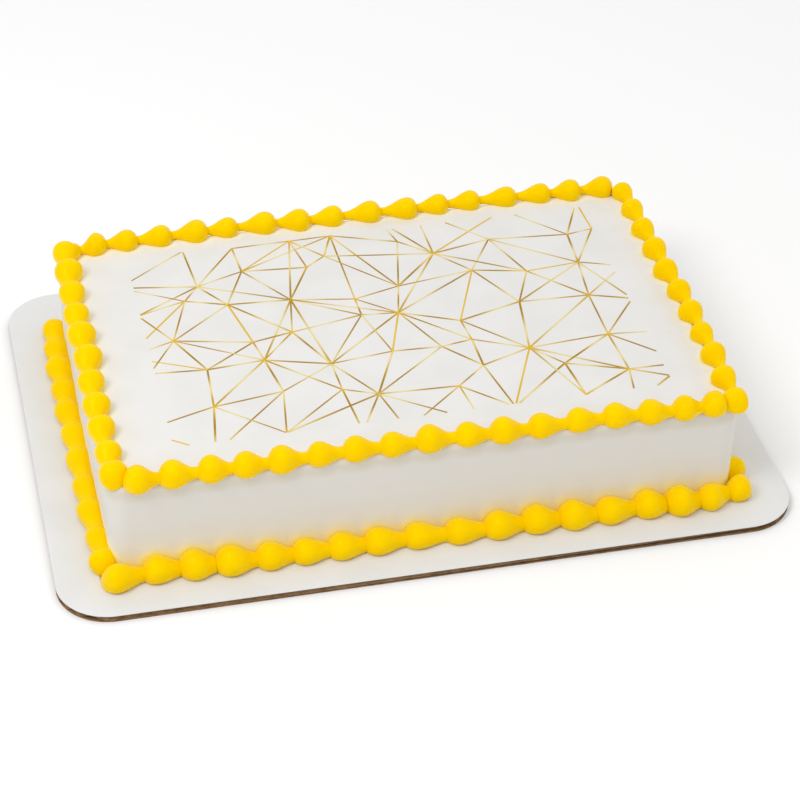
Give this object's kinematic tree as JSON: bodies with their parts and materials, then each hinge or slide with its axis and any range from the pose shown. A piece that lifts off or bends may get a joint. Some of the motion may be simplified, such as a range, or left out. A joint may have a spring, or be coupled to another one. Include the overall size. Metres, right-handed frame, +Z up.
{
  "type": "cracked glass cake",
  "caption": "Rectangular white iced sheet cake with a cracked glass pattern of gold lines on top and yellow piped beads round its top edge and foot, on a corrugated cake board.",
  "frame": {"origin": "centre of the board's underside, on the surface that the cake stands on", "axes": "+X along the cake's long side, to the right from the front; +Y to the back; +Z up"},
  "size_m": [0.365, 0.266, 0.0664],
  "materials": {
    "icing": "smooth white buttercream, satin",
    "edible_sheet": "smooth white edible sheet printed with thin gold lines",
    "piping": "bright yellow piped icing, soft gloss",
    "board_face": "white coated liner, satin",
    "board_core": "raw brown corrugated board"
  },
  "bodies": {
    "root": {"board_core": "board_core", "board_face": "board_face", "iced_cake": "icing", "edible_sheet": "edible_sheet", "top_border_back": "piping", "top_border_left": "piping", "top_border_front": "piping", "top_border_right": "piping", "foot_border_back": "piping", "foot_border_left": "piping", "foot_border_right": "piping", "foot_border_front": "piping"}
  },
  "joints": []
}
